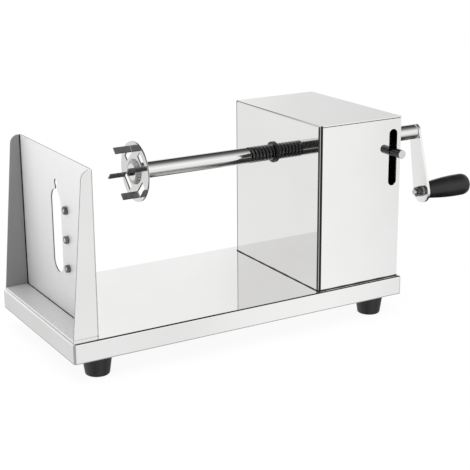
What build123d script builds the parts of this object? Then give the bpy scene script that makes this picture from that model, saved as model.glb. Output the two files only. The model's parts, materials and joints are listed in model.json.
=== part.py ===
from build123d import *
from math import ceil, cos, pi, radians, sin
import os

# A hand cranked cutter that turns a potato into one long spiral. A threaded shaft carries a fork
# disc at its left end and a crank at its right end. The potato sits between the fork and the blade.
# X runs along the shaft towards the crank, Y runs from front to back, and Z is up. The origin is
# under the middle of the whole cutter, at the height of the surface that its feet stand on.
# All sizes are in millimetres.

os.makedirs("parts", exist_ok=True)

# ---- driving dimensions -------------------------------------------------------------------

# base tray and feet
base_length = 360.0
base_width = 175.0
skirt_height = 19.0
base_sheet = 1.2
base_bend = 2.0
base_top_bend = 1.9
lip_width = 30.0
foot_height = 19.0
foot_top_radius = 14.0
foot_bottom_radius = 11.2
foot_edge = 1.5
foot_from_end = 28.5
foot_from_side = 15.8
foot_recess_radius = 6.0
foot_recess_depth = 7.0

# shaft, its thread and its travel
shaft_radius = 8.0
shaft_height = 124.0  # from the tray's top to the shaft's axis
thread_pitch = 4.0
thread_depth = 2.0
thread_root_flat = 1.2
thread_mouth = 2.6
thread_overcut = 0.4  # how far the thread's cutter stands out of the shaft
thread_turns_per_cut = 8  # short cuts keep the thread exact
thread_clearance = 0.2
thread_before_housing = 30.4
thread_margin = 4.0
feed_forward = 50.0
skewer_bore_radius = 3.25
skewer_bore_depth = 150.0
tenon_radius = 5.0
tenon_head_height = 1.2
shaft_end_round = 1.5

# blade bracket
plate_sheet = 1.5
plate_bend = 2.2
plate_from_end = 25.9
flange_foot_from_end = 2.6
flange_top_width = 10.6
flange_corner = 8.5
bracket_from_front = 5.6
bracket_from_back = 0.6
plate_above_shaft = 29.6
slot_width = 22.6
slot_offset = 2.0  # the slot's middle lies this far behind the shaft's axis
slot_bottom_below_shaft = 86.2
slot_top_below_shaft = 6.0
skewer_hole_radius = 3.9
skewer_neck = 5.0  # width of the way from the skewer's hole down into the slot
stud_from_side = 30.0

# blade
blade_thickness = 2.0
blade_width = 26.0
blade_below_slot = 4.0
blade_top_below_shaft = 4.5
blade_edge_land = 5.0
blade_edge_flat = 0.1
blade_overlap = 3.0  # how far the cutting edge reaches over the slot
blade_corner = 3.0
slice_thickness = 4.0
blade_screw_pitch = 27.8
blade_screw_from_slot = 13.6
blade_screw_drop = 2.2  # from the slot's middle down to the middle screw
blade_screw_past_nut = 0.3
blade_screw_head_gap = 0.2

# housing
housing_length = 96.0
housing_from_front = 4.4
housing_from_back = 13.3
housing_from_right = 2.9
housing_above_shaft = 40.5
housing_sheet = 1.2
housing_bend = 2.6
housing_flange = 12.0
seam_gap = 0.4
seam_depth = 0.6
housing_screw_left = 0.3  # shares of the housing's length
housing_screw_right = 0.75
housing_screw_spread = 0.25  # share of the housing's depth, each way from its middle
cover_corner = 1.0
cover_screw_low = 0.12  # shares of the housing's height
cover_screw_high = 0.38
cover_screw_spread = 0.36  # share of the housing's depth, each way from its middle

# fork disc
disc_radius = 29.0
disc_thickness = 1.5
disc_from_plate = 80.1
prong_length = 17.0
prong_width = 6.6
prong_slit = 0.1
prong_offset = 19.6  # from the shaft's axis to the middle of a prong, across the fold
prong_fold = 10.4  # from the foot of that offset to the fold
prong_bend = 2.3  # round the outside of the fold
prong_count = 4
prong_first_angle = -45.0
weld_width = 4.5
weld_height = 3.0

# crank and grip
crank_from_housing = 83.5
crank_thickness = 3.0
crank_length = 64.6
crank_top_radius = 8.2
crank_bottom_radius = 12.5
crank_swing = 13.0  # from straight down, towards the front
crank_edge = 0.5
grip_length = 55.3
grip_neck_radius = 8.6
grip_waist_radius = 10.6
grip_belly_radius = 11.8
grip_belly_from_end = 12.0
grip_end_radius = 6.6
grip_waist_share = 0.32
grip_neck_slope = 0.12
grip_gap = 0.5
grip_recess_depth = 6.0
grip_recess_gap = 0.5  # round the bolt's head
grip_head_gap = 0.2  # under the bolt's head
jam_nut_height = 3.2
grip_bolt_past_arm = 9.2

# release lever, half nut and spring
slot_gap = 0.6  # between the release pin and each side of its slot
pin_radius = 4.25
pin_round = 0.4
pin_reach = 10.6  # in front of the tray
pin_above_shaft = 5.8
pin_slot_length = 57.0
lever_thickness = 5.0
lever_height = 12.0
lever_below_shaft = 26.0  # from the shaft's axis to the lever's underside
pivot_above_lever = 6.0
pivot_from_back = 24.0
lever_nose_gap = 8.4  # between the housing's front sheet and the lever's riser
riser_width = 10.0
riser_above_pin = 6.2
half_nut_length = 15.5
half_nut_width = 22.0
half_nut_below_axis = 5.5
half_nut_corner = 1.0
half_nut_screw_depth = 9.3
half_nut_hole_past_screw = 1.6
pin_from_right = 8.15  # from the housing shell's right end to the pin's axis
pivot_plate = 2.0
pivot_spacer_length = 2.0
pivot_plate_width = 20.0
pivot_corner = 8.0
pivot_foot_length = 20.0
spring_wire_radius = 0.6
spring_coil_radius = 3.9
spring_turns = 14
spring_from_front = 38.0
spring_from_lever = 5.0
spring_peg_radius = 1.8
spring_peg_length = 9.0
spring_joint_bulge = 0.08  # how much thicker the wire is where an eye joins the coil
hanger_drop = 12.0
hanger_sheet = 1.5

# bushes
bush_clearance = 0.25
bush_wall = 1.4
bush_lip = 0.9
bush_lip_thickness = 1.5
bush_length = 14.0
hole_clearance = 0.05
rear_bush_wall = 3.0
rear_bush_flange = 3.0
rear_nut_flats = 32.0
rear_nut_height = 3.0

# fasteners: radius, head radius, head height, nut flats and nut height
m4 = dict(radius=2.0, head=4.0, head_height=2.6, flats=7.0, nut=3.2)
m5 = dict(radius=2.5, head=4.75, head_height=3.0, flats=8.0, nut=4.0)
m6 = dict(radius=3.0, head=5.0, head_height=4.0, flats=10.0, nut=5.0)
screw_head_round = 1.0
fastener_clearance = 0.25  # round a screw in a plain hole
nut_clearance = 0.05  # round a screw in its nut
thread_past_nut = 1.5
washer_radius = 5.4
washer_thickness = 1.0
arm_washer_radius = 6.2
arm_washer_thickness = 1.2
pivot_head_height = 2.4
running_clearance = 0.08

# ---- places worked out from the dimensions -------------------------------------------------

grip_start = crank_thickness + jam_nut_height + grip_gap  # from the arm's left face
crank_from_base_end = crank_from_housing - housing_from_right
overall_length = base_length + crank_from_base_end + grip_start + grip_length
overall_depth = base_width + pin_reach

base_left = -overall_length / 2
base_right = base_left + base_length
base_front = -overall_depth / 2 + pin_reach
base_back = base_front + base_width
base_mid_y = (base_front + base_back) / 2
base_bottom = foot_height
base_top = foot_height + skirt_height
base_under = base_top - base_sheet

shaft_y = base_mid_y
shaft_z = base_top + shaft_height

plate_left = base_left + plate_from_end
plate_right = plate_left + plate_sheet
plate_top = shaft_z + plate_above_shaft
bracket_front = base_front + bracket_from_front
bracket_back = base_back - bracket_from_back

slot_y = shaft_y + slot_offset
slot_top = shaft_z - slot_top_below_shaft
slot_bottom = shaft_z - slot_bottom_below_shaft
slot_front = slot_y - slot_width / 2
slot_height = slot_top - slot_bottom
blade_left = plate_right + slice_thickness
blade_right = blade_left + blade_thickness
blade_edge_y = slot_front + blade_overlap
blade_top = shaft_z - blade_top_below_shaft
blade_bottom = slot_bottom - blade_below_slot
blade_screw_y = slot_front - blade_screw_from_slot
blade_screw_z = (slot_top + slot_bottom) / 2 - blade_screw_drop
blade_points = [(blade_screw_y, blade_screw_z + n * blade_screw_pitch) for n in (-1, 0, 1)]

housing_right = base_right - housing_from_right
housing_left = housing_right - housing_length
housing_front = base_front + housing_from_front
housing_back = base_back - housing_from_back
housing_depth = housing_back - housing_front
housing_top = shaft_z + housing_above_shaft
housing_height = housing_top - base_top
housing_mid_y = (housing_front + housing_back) / 2
shell_right = housing_right - housing_sheet  # the rear cover closes the shell here

disc_front = plate_left + disc_from_plate
shaft_left = disc_front - weld_height
crank_left = housing_right + crank_from_housing
crank_right = crank_left + crank_thickness

release_x = shell_right - pin_from_right
lever_left = release_x - lever_thickness / 2
lever_right = release_x + lever_thickness / 2
half_nut_left = lever_left - half_nut_length
lever_bottom = shaft_z - lever_below_shaft
lever_top = lever_bottom + lever_height
pivot_y = housing_back - pivot_from_back
pivot_z = lever_bottom + pivot_above_lever
pin_z = shaft_z + pin_above_shaft
riser_front = housing_front + housing_sheet + lever_nose_gap

thread_start = housing_left - thread_before_housing
thread_turns = ceil((lever_left + feed_forward + thread_margin - thread_start) / thread_pitch)
root_radius = shaft_radius - thread_depth

swing = radians(crank_swing)
grip_y = shaft_y - crank_length * sin(swing)
grip_z = shaft_z - crank_length * cos(swing)
grip_left = crank_left + grip_start
grip_right = grip_left + grip_length


# ---- planes and repeated shapes ------------------------------------------------------------


def across_x(x):
    """A plane square to X. Its own axes are Y and Z, and it faces +X."""
    return Plane.YZ.offset(x)


def across_y(y):
    """A plane square to Y. Its own axes are X and Z, and it faces -Y."""
    return Plane.XZ.offset(-y)


def level(z):
    """A level plane. Its own axes are X and Y, and it faces up."""
    return Plane.XY.offset(z)


def bars(plane, points, radius, length, mode=Mode.ADD):
    """Round bars, or round holes with Mode.SUBTRACT, that stand on a plane at each point."""
    with BuildSketch(plane) as ends:
        with Locations(*points):
            Circle(radius)
    extrude(ends.sketch, amount=length, mode=mode)


def holes(plane, points, radius, length):
    """Round holes that run from a plane along its normal."""
    bars(plane, points, radius, length, Mode.SUBTRACT)


def rings(plane, points, radius, bore, length):
    """Washers, spacers and tubes that stand on a plane at each point."""
    with BuildSketch(plane) as ends:
        with Locations(*points):
            Circle(radius)
            Circle(bore, mode=Mode.SUBTRACT)
    extrude(ends.sketch, amount=length)


def hex_nuts(plane, points, size, height=None):
    """Hexagonal nuts that stand on a plane at each point."""
    with BuildSketch(plane) as ends:
        with Locations(*points):
            RegularPolygon(size["flats"] / 2, 6, major_radius=False)
            Circle(size["radius"] + nut_clearance, mode=Mode.SUBTRACT)
    extrude(ends.sketch, amount=height or size["nut"])


def block(plane, corner, far_corner, length, mode=Mode.ADD):
    """A block on a plane, between two corners in the plane's own axes."""
    width, height = far_corner[0] - corner[0], far_corner[1] - corner[1]
    with BuildSketch(plane) as end:
        with Locations((corner[0] + width / 2, corner[1] + height / 2)):
            Rectangle(width, height)
    extrude(end.sketch, amount=length, mode=mode)


def screw_thread(start_x, turns, inner_radius, outer_radius, inner_width, outer_width):
    """The space that a right-handed screw thread leaves, round the shaft's axis."""
    centre = Vector(start_x, shaft_y, shaft_z)
    mean_radius = (inner_radius + outer_radius) / 2
    half_depth = (outer_radius - inner_radius) / 2
    helix = Helix(thread_pitch, turns * thread_pitch, mean_radius, centre, (1, 0, 0))
    section = Plane(helix @ 0, x_dir=(1, 0, 0), z_dir=helix % 0)
    outward = 1 if section.y_dir.dot((helix @ 0) - centre) > 0 else -1
    inner, outer = -outward * half_depth, outward * half_depth
    with BuildPart(mode=Mode.PRIVATE) as groove:
        with BuildSketch(section) as profile:
            with BuildLine():
                Polyline(
                    (-inner_width / 2, inner),
                    (inner_width / 2, inner),
                    (outer_width / 2, outer),
                    (-outer_width / 2, outer),
                    close=True,
                )
            make_face()
        sweep(profile.sketch, path=helix, is_frenet=True)
    return groove.part


def finish(builder, name):
    """Name a finished piece and write its file."""
    builder.part.label = name
    export_step(builder.part, f"parts/{name}.step")


# ---- base tray -----------------------------------------------------------------------------

foot_points = {
    "front_left_foot": (base_left + foot_from_end, base_front + foot_from_side),
    "front_right_foot": (base_right - foot_from_end, base_front + foot_from_side),
    "back_left_foot": (base_left + foot_from_end, base_back - foot_from_side),
    "back_right_foot": (base_right - foot_from_end, base_back - foot_from_side),
}
stud_x = (base_left + flange_foot_from_end + plate_left) / 2
stud_rows = (bracket_front + stud_from_side, shaft_y, bracket_back - stud_from_side)
stud_points = [(stud_x, y) for y in stud_rows]
flange_middle = (housing_flange + housing_sheet) / 2
housing_points = [
    (housing_left + share * housing_length, y)
    for share in (housing_screw_left, housing_screw_right)
    for y in (housing_front + flange_middle, housing_back - flange_middle)
] + [
    (housing_left + flange_middle, housing_mid_y + way * housing_screw_spread * housing_depth)
    for way in (-1, 1)
]
pivot_plate_right = lever_left - pivot_spacer_length
pivot_plate_left = pivot_plate_right - pivot_plate
pivot_foot_left = pivot_plate_left - pivot_foot_length
pivot_foot_x = (pivot_foot_left + pivot_plate_left) / 2
pivot_foot_points = [
    (pivot_foot_x, pivot_y - pivot_plate_width / 4),
    (pivot_foot_x, pivot_y + pivot_plate_width / 4),
]

with BuildPart() as base_tray:
    block(level(base_bottom), (base_left, base_front), (base_right, base_back), skirt_height)
    fillet(base_tray.edges().filter_by(Axis.Z), base_bend)
    fillet(base_tray.edges().group_by(Axis.Z)[-1], base_top_bend)
    block(
        level(base_bottom + base_sheet),
        (base_left + base_sheet, base_front + base_sheet),
        (base_right - base_sheet, base_back - base_sheet),
        skirt_height - 2 * base_sheet,
        Mode.SUBTRACT,
    )
    block(
        level(base_bottom),
        (base_left + base_sheet, base_front + lip_width),
        (base_right - base_sheet, base_back - lip_width),
        base_sheet,
        Mode.SUBTRACT,
    )
    holes(
        level(base_bottom), foot_points.values(), m5["radius"] + fastener_clearance, base_sheet
    )
    holes(level(base_under), stud_points, m5["radius"] + fastener_clearance, base_sheet)
    holes(level(base_under), housing_points, m4["radius"] + fastener_clearance, base_sheet)
    holes(level(base_under), pivot_foot_points, m4["radius"] + fastener_clearance, base_sheet)
finish(base_tray, "base_tray")

# ---- feet and their fasteners ----------------------------------------------------------------

for foot_name, (foot_x, foot_y) in foot_points.items():
    with BuildPart() as foot:
        with BuildSketch(level(0)) as foot_bottom:
            with Locations((foot_x, foot_y)):
                Circle(foot_bottom_radius)
        with BuildSketch(level(foot_height)) as foot_top:
            with Locations((foot_x, foot_y)):
                Circle(foot_top_radius)
        loft()
        fillet(foot.edges().group_by(Axis.Z)[0], foot_edge)
        holes(level(0), [(foot_x, foot_y)], foot_recess_radius, foot_recess_depth)
        holes(level(0), [(foot_x, foot_y)], m5["radius"] + fastener_clearance, foot_height)
    finish(foot, foot_name)

foot_screw_head = foot_recess_depth - washer_thickness
foot_screw_top = foot_height + base_sheet + m5["nut"] + thread_past_nut

with BuildPart() as foot_screws:
    bars(level(foot_screw_head), foot_points.values(), m5["head"], -m5["head_height"])
    bars(
        level(foot_screw_head),
        foot_points.values(),
        m5["radius"],
        foot_screw_top - foot_screw_head,
    )
finish(foot_screws, "foot_screws")

with BuildPart() as foot_washers:
    rings(
        level(foot_screw_head),
        foot_points.values(),
        washer_radius,
        m5["radius"] + fastener_clearance,
        washer_thickness,
    )
finish(foot_washers, "foot_washers")

with BuildPart() as foot_nuts:
    hex_nuts(level(foot_height + base_sheet), foot_points.values(), m5)
finish(foot_nuts, "foot_nuts")

# ---- blade bracket ---------------------------------------------------------------------------

flange_top_left = plate_right - flange_top_width
neck_height = slot_top_below_shaft + slot_width / 2

with BuildPart() as blade_bracket:
    with BuildSketch(across_y(bracket_back)) as side:
        with BuildLine():
            Polyline(
                (base_left + flange_foot_from_end, base_top),
                (plate_right, base_top),
                (plate_right, plate_top),
                (flange_top_left, plate_top),
                close=True,
            )
        make_face()
        free_corner = side.vertices().sort_by_distance((flange_top_left, plate_top))[0]
        fillet(free_corner, flange_corner)
    extrude(amount=bracket_back - bracket_front)
    bend_edges = blade_bracket.edges().filter_by(Axis.Z).group_by(Axis.X)[-1]
    fillet(bend_edges, plate_bend)
    block(
        level(base_top + plate_sheet),
        (base_left - flange_foot_from_end, bracket_front + plate_sheet),
        (plate_left, bracket_back - plate_sheet),
        plate_top - base_top,
        Mode.SUBTRACT,
    )
    with BuildSketch(across_x(plate_left)) as blade_slot:
        with Locations((slot_y, (slot_top + slot_bottom) / 2)):
            SlotOverall(slot_height, slot_width, rotation=90)
        with Locations((shaft_y, shaft_z)):
            Circle(skewer_hole_radius)
        with Locations((shaft_y, shaft_z - neck_height / 2)):
            Rectangle(skewer_neck, neck_height)
    extrude(amount=plate_sheet, mode=Mode.SUBTRACT)
    holes(across_x(plate_left), blade_points, m4["radius"] + fastener_clearance, plate_sheet)
finish(blade_bracket, "blade_bracket")

with BuildPart() as bracket_studs:
    bars(
        level(base_top),
        stud_points,
        m5["radius"],
        -(base_sheet + washer_thickness + m5["nut"] + thread_past_nut),
    )
finish(bracket_studs, "bracket_studs")

with BuildPart() as bracket_washers:
    rings(
        level(base_under),
        stud_points,
        washer_radius,
        m5["radius"] + fastener_clearance,
        -washer_thickness,
    )
finish(bracket_washers, "bracket_washers")

with BuildPart() as bracket_nuts:
    hex_nuts(level(base_under - washer_thickness - m5["nut"]), stud_points, m5)
finish(bracket_nuts, "bracket_nuts")

# ---- blade -----------------------------------------------------------------------------------

with BuildPart() as blade:
    with BuildSketch(level(blade_bottom)) as blade_section:
        with BuildLine():
            Polyline(
                (blade_left, blade_edge_y - blade_width),
                (blade_right, blade_edge_y - blade_width),
                (blade_right, blade_edge_y - blade_edge_land),
                (blade_left + blade_edge_flat, blade_edge_y),
                (blade_left, blade_edge_y),
                close=True,
            )
        make_face()
    extrude(amount=blade_top - blade_bottom)
    fillet(blade.edges().filter_by(Axis.X).group_by(Axis.Y)[0], blade_corner)
    with Locations(*[Plane((blade_right, y, z), z_dir=(1, 0, 0)) for y, z in blade_points]):
        CounterSinkHole(m4["radius"] + fastener_clearance, m4["head"], blade_thickness)
finish(blade, "blade")

with BuildPart() as blade_spacers:
    rings(
        across_x(plate_right),
        blade_points,
        m4["head"],
        m4["radius"] + fastener_clearance,
        slice_thickness,
    )
finish(blade_spacers, "blade_spacers")

blade_screw_left = plate_left - m4["nut"] - blade_screw_past_nut
blade_screw_head = m4["head"] - blade_screw_head_gap

with BuildPart() as blade_screws:
    bars(
        across_x(blade_screw_left), blade_points, m4["radius"], blade_right - blade_screw_left
    )
    with Locations(*[Plane((blade_right, y, z), z_dir=(-1, 0, 0)) for y, z in blade_points]):
        Cone(
            blade_screw_head,
            m4["radius"],
            blade_screw_head - m4["radius"],
            align=(Align.CENTER, Align.CENTER, Align.MIN),
        )
finish(blade_screws, "blade_screws")

with BuildPart() as blade_nuts:
    hex_nuts(across_x(plate_left - m4["nut"]), blade_points, m4)
finish(blade_nuts, "blade_nuts")

# ---- housing ---------------------------------------------------------------------------------

cover_points = [
    (housing_front + flange_middle, base_top + cover_screw_low * housing_height),
    (housing_front + flange_middle, base_top + cover_screw_high * housing_height),
    (housing_back - flange_middle, base_top + cover_screw_low * housing_height),
    (housing_back - flange_middle, base_top + cover_screw_high * housing_height),
    (housing_mid_y - cover_screw_spread * housing_depth, housing_top - flange_middle),
    (housing_mid_y + cover_screw_spread * housing_depth, housing_top - flange_middle),
]
front_barrel_radius = shaft_radius + bush_clearance + bush_wall
rear_barrel_radius = shaft_radius + bush_clearance + rear_bush_wall
pin_slot_width = 2 * (pin_radius + slot_gap)

with BuildPart() as housing_shell:
    block(
        level(base_top),
        (housing_left, housing_front),
        (shell_right, housing_back),
        housing_height,
    )
    left_edges = housing_shell.edges().group_by(Axis.X)[0]
    fillet(left_edges.filter_by(Axis.Z) + left_edges.group_by(Axis.Z)[-1], housing_bend)
    block(
        level(base_top + housing_sheet),
        (housing_left + housing_sheet, housing_front + housing_sheet),
        (shell_right - housing_sheet, housing_back - housing_sheet),
        housing_height - 2 * housing_sheet,
        Mode.SUBTRACT,
    )
    block(
        level(base_top),
        (housing_left + housing_flange, housing_front + housing_flange),
        (shell_right, housing_back - housing_flange),
        housing_sheet,
        Mode.SUBTRACT,
    )
    block(
        across_x(shell_right - housing_sheet),
        (housing_front + housing_flange, base_top),
        (housing_back - housing_flange, housing_top - housing_flange),
        housing_sheet,
        Mode.SUBTRACT,
    )
    seam_top = housing_top - housing_sheet
    for seam_face, seam_direction in ((housing_front, -1), (housing_back, 1)):
        block(
            across_y(seam_face),
            (housing_left + housing_bend + seam_gap, seam_top - seam_gap),
            (shell_right, seam_top),
            seam_direction * seam_depth,
            Mode.SUBTRACT,
        )
    holes(across_x(housing_left), [(shaft_y, shaft_z)], front_barrel_radius, housing_sheet)
    with BuildSketch(across_y(housing_front)) as pin_slot:
        with Locations((release_x, shaft_z)):
            SlotOverall(pin_slot_length, pin_slot_width, rotation=90)
    extrude(amount=-housing_sheet, mode=Mode.SUBTRACT)
    holes(level(base_top), housing_points, m4["radius"] + fastener_clearance, housing_sheet)
    holes(
        across_x(shell_right - housing_sheet),
        cover_points,
        m4["radius"] + fastener_clearance,
        housing_sheet,
    )
finish(housing_shell, "housing_shell")

with BuildPart() as rear_cover:
    block(
        across_x(shell_right),
        (housing_front, base_top),
        (housing_back, housing_top),
        housing_sheet,
    )
    fillet(rear_cover.edges().filter_by(Axis.X).group_by(Axis.Z)[-1], cover_corner)
    holes(across_x(shell_right), [(shaft_y, shaft_z)], rear_barrel_radius, housing_sheet)
    holes(
        across_x(shell_right), cover_points, m4["radius"] + fastener_clearance, housing_sheet
    )
finish(rear_cover, "rear_cover")

with BuildPart() as cover_screws:
    bars(across_x(housing_right), cover_points, m4["head"], m4["head_height"])
    bars(
        across_x(housing_right),
        cover_points,
        m4["radius"],
        -(2 * housing_sheet + m4["nut"] + thread_past_nut),
    )
    fillet(cover_screws.edges().group_by(Axis.X)[-1], screw_head_round)
finish(cover_screws, "cover_screws")

with BuildPart() as cover_nuts:
    hex_nuts(across_x(shell_right - housing_sheet - m4["nut"]), cover_points, m4)
finish(cover_nuts, "cover_nuts")

with BuildPart() as housing_screws:
    bars(level(base_under), housing_points, m4["head"], -m4["head_height"])
    bars(
        level(base_under),
        housing_points,
        m4["radius"],
        base_sheet + housing_sheet + m4["nut"] + thread_past_nut,
    )
finish(housing_screws, "housing_screws")

with BuildPart() as housing_nuts:
    hex_nuts(level(base_top + housing_sheet), housing_points, m4)
finish(housing_nuts, "housing_nuts")

# ---- bushes ----------------------------------------------------------------------------------

bush_bore = shaft_radius + bush_clearance
front_lip_radius = front_barrel_radius + bush_lip
shaft_point = [(shaft_y, shaft_z)]

with BuildPart() as front_bush:
    front_hole_radius = front_barrel_radius - hole_clearance
    rings(
        across_x(housing_left - bush_lip_thickness - hole_clearance),
        shaft_point,
        front_hole_radius,
        bush_bore,
        bush_length,
    )
    rings(
        across_x(housing_left - hole_clearance),
        shaft_point,
        front_lip_radius,
        bush_bore,
        -bush_lip_thickness,
    )
    rings(
        across_x(housing_left + housing_sheet + hole_clearance),
        shaft_point,
        front_lip_radius,
        bush_bore,
        bush_lip_thickness,
    )
finish(front_bush, "front_bush")

rear_flange_radius = rear_barrel_radius + rear_bush_flange

with BuildPart() as rear_bush:
    rings(
        across_x(housing_right),
        shaft_point,
        rear_barrel_radius - hole_clearance,
        bush_bore,
        -(housing_sheet + rear_nut_height + nut_clearance),
    )
    rings(across_x(housing_right), shaft_point, rear_flange_radius, bush_bore, bush_lip_thickness)
finish(rear_bush, "rear_bush")

with BuildPart() as rear_bush_nut:
    with BuildSketch(across_x(shell_right)) as bush_nut_end:
        with Locations(*shaft_point):
            RegularPolygon(rear_nut_flats / 2, 6, major_radius=False)
            Circle(rear_barrel_radius, mode=Mode.SUBTRACT)
    extrude(amount=-rear_nut_height)
finish(rear_bush_nut, "rear_bush_nut")

# ---- drive shaft -----------------------------------------------------------------------------

thread_slope = (thread_mouth - thread_root_flat) / thread_depth

with BuildPart() as drive_shaft:
    bars(across_x(shaft_left), shaft_point, shaft_radius, crank_left - shaft_left)
    fillet(drive_shaft.edges().group_by(Axis.X)[-1], shaft_end_round)
    for first_turn in range(0, thread_turns, thread_turns_per_cut):
        shaft_groove = screw_thread(
            thread_start + first_turn * thread_pitch,
            min(thread_turns_per_cut, thread_turns - first_turn),
            root_radius,
            shaft_radius + thread_overcut,
            thread_root_flat,
            thread_mouth + thread_overcut * thread_slope,
        )
        add(shaft_groove, mode=Mode.SUBTRACT)
    bars(across_x(crank_left), shaft_point, tenon_radius, crank_thickness + tenon_head_height)
    holes(across_x(shaft_left), shaft_point, skewer_bore_radius, skewer_bore_depth)
finish(drive_shaft, "drive_shaft")

# ---- fork disc -------------------------------------------------------------------------------


def fork_point(angle, along, across):
    """A point on the disc, from its centre: along a prong's window, then across it."""
    return (
        shaft_y + along * cos(angle) - across * sin(angle),
        shaft_z + along * sin(angle) + across * cos(angle),
    )


prong_angles = [prong_first_angle + n * 360 / prong_count for n in range(prong_count)]

with BuildPart() as fork_disc:
    with BuildSketch(across_x(disc_front)) as disc_face:
        with Locations(*shaft_point):
            Circle(disc_radius)
            Circle(shaft_radius + hole_clearance, mode=Mode.SUBTRACT)
        for angle in prong_angles:
            window = fork_point(radians(angle), prong_length / 2 - prong_fold, prong_offset)
            with Locations(Location((*window, 0), (0, 0, angle))):
                Rectangle(prong_length, prong_width + 2 * prong_slit, mode=Mode.SUBTRACT)
    extrude(amount=disc_thickness)
    for angle in prong_angles:
        fold = fork_point(radians(angle), -prong_fold, prong_offset)
        window_way = (0, cos(radians(angle)), sin(radians(angle)))
        width_way = (0, -sin(radians(angle)), cos(radians(angle)))
        fold_plane = Plane((disc_front, *fold), x_dir=window_way, z_dir=width_way)
        with BuildSketch(fold_plane) as prong_side:
            with BuildLine():
                Polyline(
                    (-disc_thickness, -disc_thickness),
                    (disc_thickness, -disc_thickness),
                    (disc_thickness, prong_length),
                    (0, prong_length),
                    (0, 0),
                    (-disc_thickness, 0),
                    close=True,
                )
            make_face()
            outer_corner = prong_side.vertices().sort_by_distance(
                (disc_thickness, -disc_thickness)
            )[0]
            fillet(outer_corner, prong_bend)
        extrude(amount=prong_width / 2, both=True)
finish(fork_disc, "fork_disc")

with BuildPart() as disc_weld:
    with BuildSketch(Plane.XY.offset(shaft_z)) as bead_section:
        with BuildLine():
            bead_root = (disc_front, shaft_y + shaft_radius)
            bead = EllipticalCenterArc(bead_root, weld_height, weld_width, 90, arc_size=90)
            Polyline(bead @ 1, bead_root, bead @ 0)
        make_face()
    revolve(axis=Axis((0, shaft_y, shaft_z), (1, 0, 0)))
finish(disc_weld, "disc_weld")

# ---- crank and grip --------------------------------------------------------------------------

with BuildPart() as crank_arm:
    with BuildSketch(across_x(crank_left)) as arm_face:
        with BuildLine():
            spread = (crank_bottom_radius - crank_top_radius) / crank_length
            tilt = radians(-90 - crank_swing)
            lean = pi / 2 + spread
            corners = [
                (y + radius * cos(tilt + side * lean), z + radius * sin(tilt + side * lean))
                for y, z, radius, side in (
                    (shaft_y, shaft_z, crank_top_radius, 1),
                    (grip_y, grip_z, crank_bottom_radius, 1),
                    (grip_y, grip_z, crank_bottom_radius, -1),
                    (shaft_y, shaft_z, crank_top_radius, -1),
                )
            ]
            Polyline(*corners, close=True)
        make_face()
        with Locations((shaft_y, shaft_z)):
            Circle(crank_top_radius)
        with Locations((grip_y, grip_z)):
            Circle(crank_bottom_radius)
    extrude(amount=crank_thickness)
    holes(across_x(crank_left), shaft_point, tenon_radius + hole_clearance, crank_thickness)
    holes(
        across_x(crank_left),
        [(grip_y, grip_z)],
        m6["radius"] + fastener_clearance,
        crank_thickness,
    )
finish(crank_arm, "crank_arm")

grip_point = [(grip_y, grip_z)]
bolt_head_left = grip_right - grip_recess_depth

with BuildPart() as grip_bolt:
    bars(across_x(bolt_head_left), grip_point, m6["head"], m6["head_height"])
    bars(
        across_x(bolt_head_left),
        grip_point,
        m6["radius"],
        crank_left - grip_bolt_past_arm - bolt_head_left,
    )
finish(grip_bolt, "grip_bolt")

with BuildPart() as grip_washer:
    rings(
        across_x(crank_left),
        grip_point,
        arm_washer_radius,
        m6["radius"] + fastener_clearance,
        -arm_washer_thickness,
    )
finish(grip_washer, "grip_washer")

with BuildPart() as grip_nut:
    hex_nuts(across_x(crank_left - arm_washer_thickness - m6["nut"]), grip_point, m6)
finish(grip_nut, "grip_nut")

with BuildPart() as grip_jam_nut:
    hex_nuts(across_x(crank_right), grip_point, m6, jam_nut_height)
finish(grip_jam_nut, "grip_jam_nut")

with BuildPart() as grip:
    with BuildSketch(level(grip_z)) as grip_section:
        with BuildLine():
            belly_x = grip_right - grip_belly_from_end
            waist_x = grip_left + grip_waist_share * grip_length
            Line((grip_left, grip_y), (grip_left, grip_y + grip_neck_radius))
            Spline(
                (grip_left, grip_y + grip_neck_radius),
                (waist_x, grip_y + grip_waist_radius),
                (belly_x, grip_y + grip_belly_radius),
                tangents=((1, grip_neck_slope), (1, 0)),
            )
            Spline(
                (belly_x, grip_y + grip_belly_radius),
                (grip_right, grip_y + grip_end_radius),
                tangents=((1, 0), (0, -1)),
            )
            Polyline(
                (grip_right, grip_y + grip_end_radius), (grip_right, grip_y), (grip_left, grip_y)
            )
        make_face()
    revolve(axis=Axis((0, grip_y, grip_z), (1, 0, 0)))
    holes(across_x(grip_left), grip_point, m6["radius"] + running_clearance, grip_length)
    holes(
        across_x(grip_right),
        grip_point,
        m6["head"] + grip_recess_gap,
        -grip_recess_depth - grip_head_gap,
    )
finish(grip, "grip")

# ---- release lever ---------------------------------------------------------------------------

half_nut_y = shaft_y
half_nut_top = shaft_z - half_nut_below_axis
half_nut_screw_z = (lever_bottom + lever_top) / 2
half_nut_points = [
    (half_nut_y - half_nut_width / 4, half_nut_screw_z),
    (half_nut_y + half_nut_width / 4, half_nut_screw_z),
]
spring_y = housing_front + spring_from_front
spring_x = lever_left - spring_from_lever
spring_peg = [(spring_y, half_nut_screw_z)]
riser_top = pin_z + riser_above_pin
riser_back = riser_front + riser_width
lever_end_radius = lever_height / 2
pin_point = [(release_x, pin_z)]
release_pin_front = base_front - pin_reach

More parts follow.
